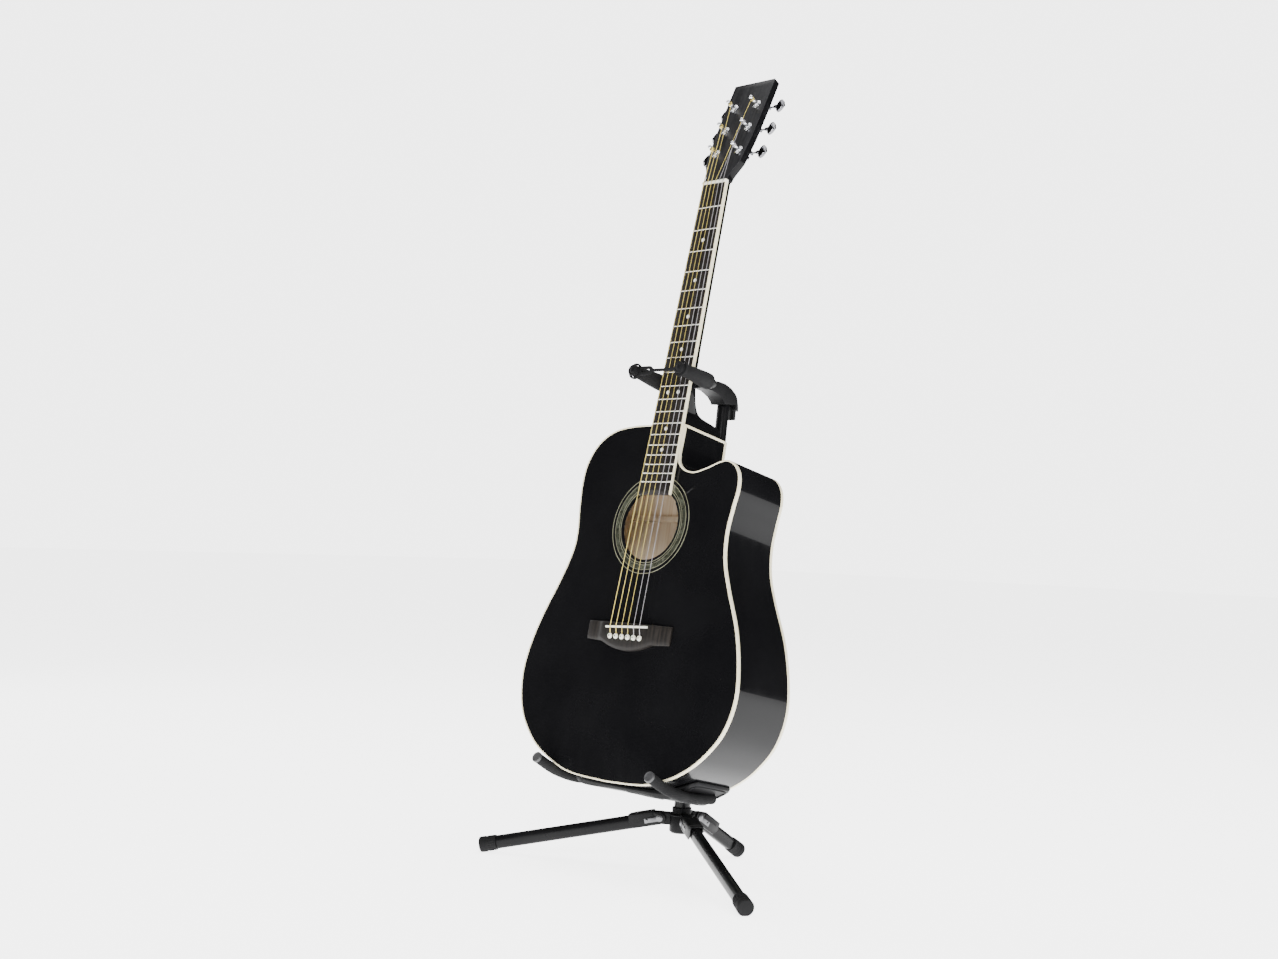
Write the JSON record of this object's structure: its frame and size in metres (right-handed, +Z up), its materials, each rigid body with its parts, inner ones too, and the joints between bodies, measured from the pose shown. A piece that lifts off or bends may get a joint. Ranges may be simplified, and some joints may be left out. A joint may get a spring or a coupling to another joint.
{
  "type": "guitar on stand",
  "caption": "Cutaway acoustic guitar in black gloss with cream binding, leaning on a folding tripod stand with a cradle and a padded neck yoke.",
  "frame": {"origin": "on the floor, under the centre of the bounding box", "axes": "+Z up, -Y the way the guitar's front faces, +X towards its cutaway side"},
  "size_m": [0.5068, 0.3254, 1.1386],
  "materials": {
    "black_lacquer": "black gloss lacquer",
    "cream_binding": "cream, polished",
    "pearl": "olive-grey pearl",
    "dark_wood": "dark open-grained wood, satin",
    "bone": "off-white, polished",
    "chrome": "bright chrome",
    "bronze_string": "yellow bronze winding",
    "plain_string": "plain bright steel",
    "black_tube": "black satin powder coat",
    "black_moulding": "black moulded plastic, fine texture",
    "rubber": "black soft rubber",
    "steel": "zinc-plated steel"
  },
  "bodies": {
    "stand": {"hub": "black_moulding", "mast_lower": "black_tube", "cradle": "black_moulding", "cradle_arm_left": "rubber", "cradle_arm_right": "rubber"},
    "leg_left_body": {"leg_left": "black_tube", "foot_left": "rubber", "leg_bracket_left": "steel", "leg_pin_left": "steel"},
    "leg_right_body": {"leg_right": "black_tube", "foot_right": "rubber", "leg_bracket_right": "steel", "leg_pin_right": "steel"},
    "leg_rear_body": {"leg_rear": "black_tube", "foot_rear": "rubber", "leg_bracket_rear": "steel", "leg_pin_rear": "steel"},
    "mast_top": {"mast_upper": "black_tube", "yoke": "black_moulding", "yoke_pad_left": "rubber", "yoke_pad_right": "rubber", "neck_strap": "rubber"},
    "collar": {"height_collar": "black_moulding"},
    "lever": {"yoke_lever": "steel"},
    "guitar": {"soundboard": "black_lacquer", "sides": "black_lacquer", "back": "black_lacquer", "front_binding": "cream_binding", "back_binding": "cream_binding", "rosette": "pearl", "bridge": "dark_wood", "saddle": "bone", "neck": "black_lacquer", "fingerboard": "dark_wood", "nut": "bone", "string_1": "plain_string", "string_2": "plain_string", "string_3": "bronze_string", "string_4": "bronze_string", "string_5": "bronze_string", "string_6": "bronze_string", "tuner_housing_1": "chrome", "tuner_housing_2": "chrome", "tuner_housing_3": "chrome", "tuner_housing_4": "chrome", "tuner_housing_5": "chrome", "tuner_housing_6": "chrome"},
    "button_1": {"tuner_button_1": "chrome"},
    "post_1": {"tuner_post_1": "chrome"},
    "button_2": {"tuner_button_2": "chrome"},
    "post_2": {"tuner_post_2": "chrome"},
    "button_3": {"tuner_button_3": "chrome"},
    "post_3": {"tuner_post_3": "chrome"},
    "button_4": {"tuner_button_4": "chrome"},
    "post_4": {"tuner_post_4": "chrome"},
    "button_5": {"tuner_button_5": "chrome"},
    "post_5": {"tuner_post_5": "chrome"},
    "button_6": {"tuner_button_6": "chrome"},
    "post_6": {"tuner_post_6": "chrome"}
  },
  "joints": [
    {"name": "left_fold", "type": "hinge", "parent": "stand", "child": "leg_left_body", "pos_m": [-0.02544, 0.0114, 0.0675], "axis": [0.5299, -0.848, 0], "range_deg": [0, 72]},
    {"name": "right_fold", "type": "hinge", "parent": "stand", "child": "leg_right_body", "pos_m": [0.02544, 0.0114, 0.0675], "axis": [0.5299, 0.848, 0], "range_deg": [0, 72]},
    {"name": "rear_fold", "type": "hinge", "parent": "stand", "child": "leg_rear_body", "pos_m": [0, 0.05729, 0.0675], "axis": [-1, 0, 0], "range_deg": [0, 54]},
    {"name": "height_slide", "type": "slide", "parent": "stand", "child": "mast_top", "axis": [0, 0.0993, 0.9951], "range_m": [-0.015, 0.03]},
    {"name": "collar_twist", "type": "hinge", "parent": "stand", "child": "collar", "pos_m": [0, 0.05783, 0.38509], "axis": [0, 0.0993, 0.9951], "range_deg": [0, 90]},
    {"name": "lever_squeeze", "type": "hinge", "parent": "mast_top", "child": "lever", "pos_m": [0, 0.09939, 0.6618], "axis": [-1, 0, 0], "range_deg": [0, 9], "stiffness_Nm_per_rad": 0.2, "springref_deg": -17.19},
    {"name": "guitar_lift", "type": "slide", "parent": "stand", "child": "guitar", "axis": [0, -0.8572, 0.515], "range_m": [0, 0.22], "deforming": ["neck_strap"]},
    {"name": "button_1_turn", "type": "hinge", "parent": "guitar", "child": "button_1", "pos_m": [-0.0507, 0.08921, 1.01982], "axis": [-1, 0, 0], "continuous": true},
    {"name": "post_1_turn", "type": "hinge", "parent": "guitar", "child": "post_1", "pos_m": [-0.0212, 0.07244, 1.02315], "axis": [0, -0.8949, 0.4462], "continuous": true},
    {"name": "button_2_turn", "type": "hinge", "parent": "guitar", "child": "button_2", "pos_m": [-0.0507, 0.10795, 1.0574], "axis": [-1, 0, 0], "continuous": true},
    {"name": "post_2_turn", "type": "hinge", "parent": "guitar", "child": "post_2", "pos_m": [-0.0212, 0.09118, 1.06074], "axis": [0, -0.8949, 0.4462], "continuous": true},
    {"name": "button_3_turn", "type": "hinge", "parent": "guitar", "child": "button_3", "pos_m": [-0.0507, 0.12647, 1.09454], "axis": [-1, 0, 0], "continuous": true},
    {"name": "post_3_turn", "type": "hinge", "parent": "guitar", "child": "post_3", "pos_m": [-0.0212, 0.1097, 1.09788], "axis": [0, -0.8949, 0.4462], "continuous": true},
    {"name": "button_4_turn", "type": "hinge", "parent": "guitar", "child": "button_4", "pos_m": [0.0507, 0.12647, 1.09454], "axis": [1, 0, 0], "continuous": true},
    {"name": "post_4_turn", "type": "hinge", "parent": "guitar", "child": "post_4", "pos_m": [0.0212, 0.1097, 1.09788], "axis": [0, -0.8949, 0.4462], "continuous": true},
    {"name": "button_5_turn", "type": "hinge", "parent": "guitar", "child": "button_5", "pos_m": [0.0507, 0.10795, 1.0574], "axis": [1, 0, 0], "continuous": true},
    {"name": "post_5_turn", "type": "hinge", "parent": "guitar", "child": "post_5", "pos_m": [0.0212, 0.09118, 1.06074], "axis": [0, -0.8949, 0.4462], "continuous": true},
    {"name": "button_6_turn", "type": "hinge", "parent": "guitar", "child": "button_6", "pos_m": [0.0507, 0.08921, 1.01982], "axis": [1, 0, 0], "continuous": true},
    {"name": "post_6_turn", "type": "hinge", "parent": "guitar", "child": "post_6", "pos_m": [0.0212, 0.07244, 1.02315], "axis": [0, -0.8949, 0.4462], "continuous": true}
  ],
  "couplings": [
    {"joint": "post_1_turn", "follows": "button_1_turn", "ratio": -0.066667},
    {"joint": "post_2_turn", "follows": "button_2_turn", "ratio": -0.066667},
    {"joint": "post_3_turn", "follows": "button_3_turn", "ratio": -0.066667},
    {"joint": "post_4_turn", "follows": "button_4_turn", "ratio": 0.066667},
    {"joint": "post_5_turn", "follows": "button_5_turn", "ratio": 0.066667},
    {"joint": "post_6_turn", "follows": "button_6_turn", "ratio": 0.066667}
  ]
}
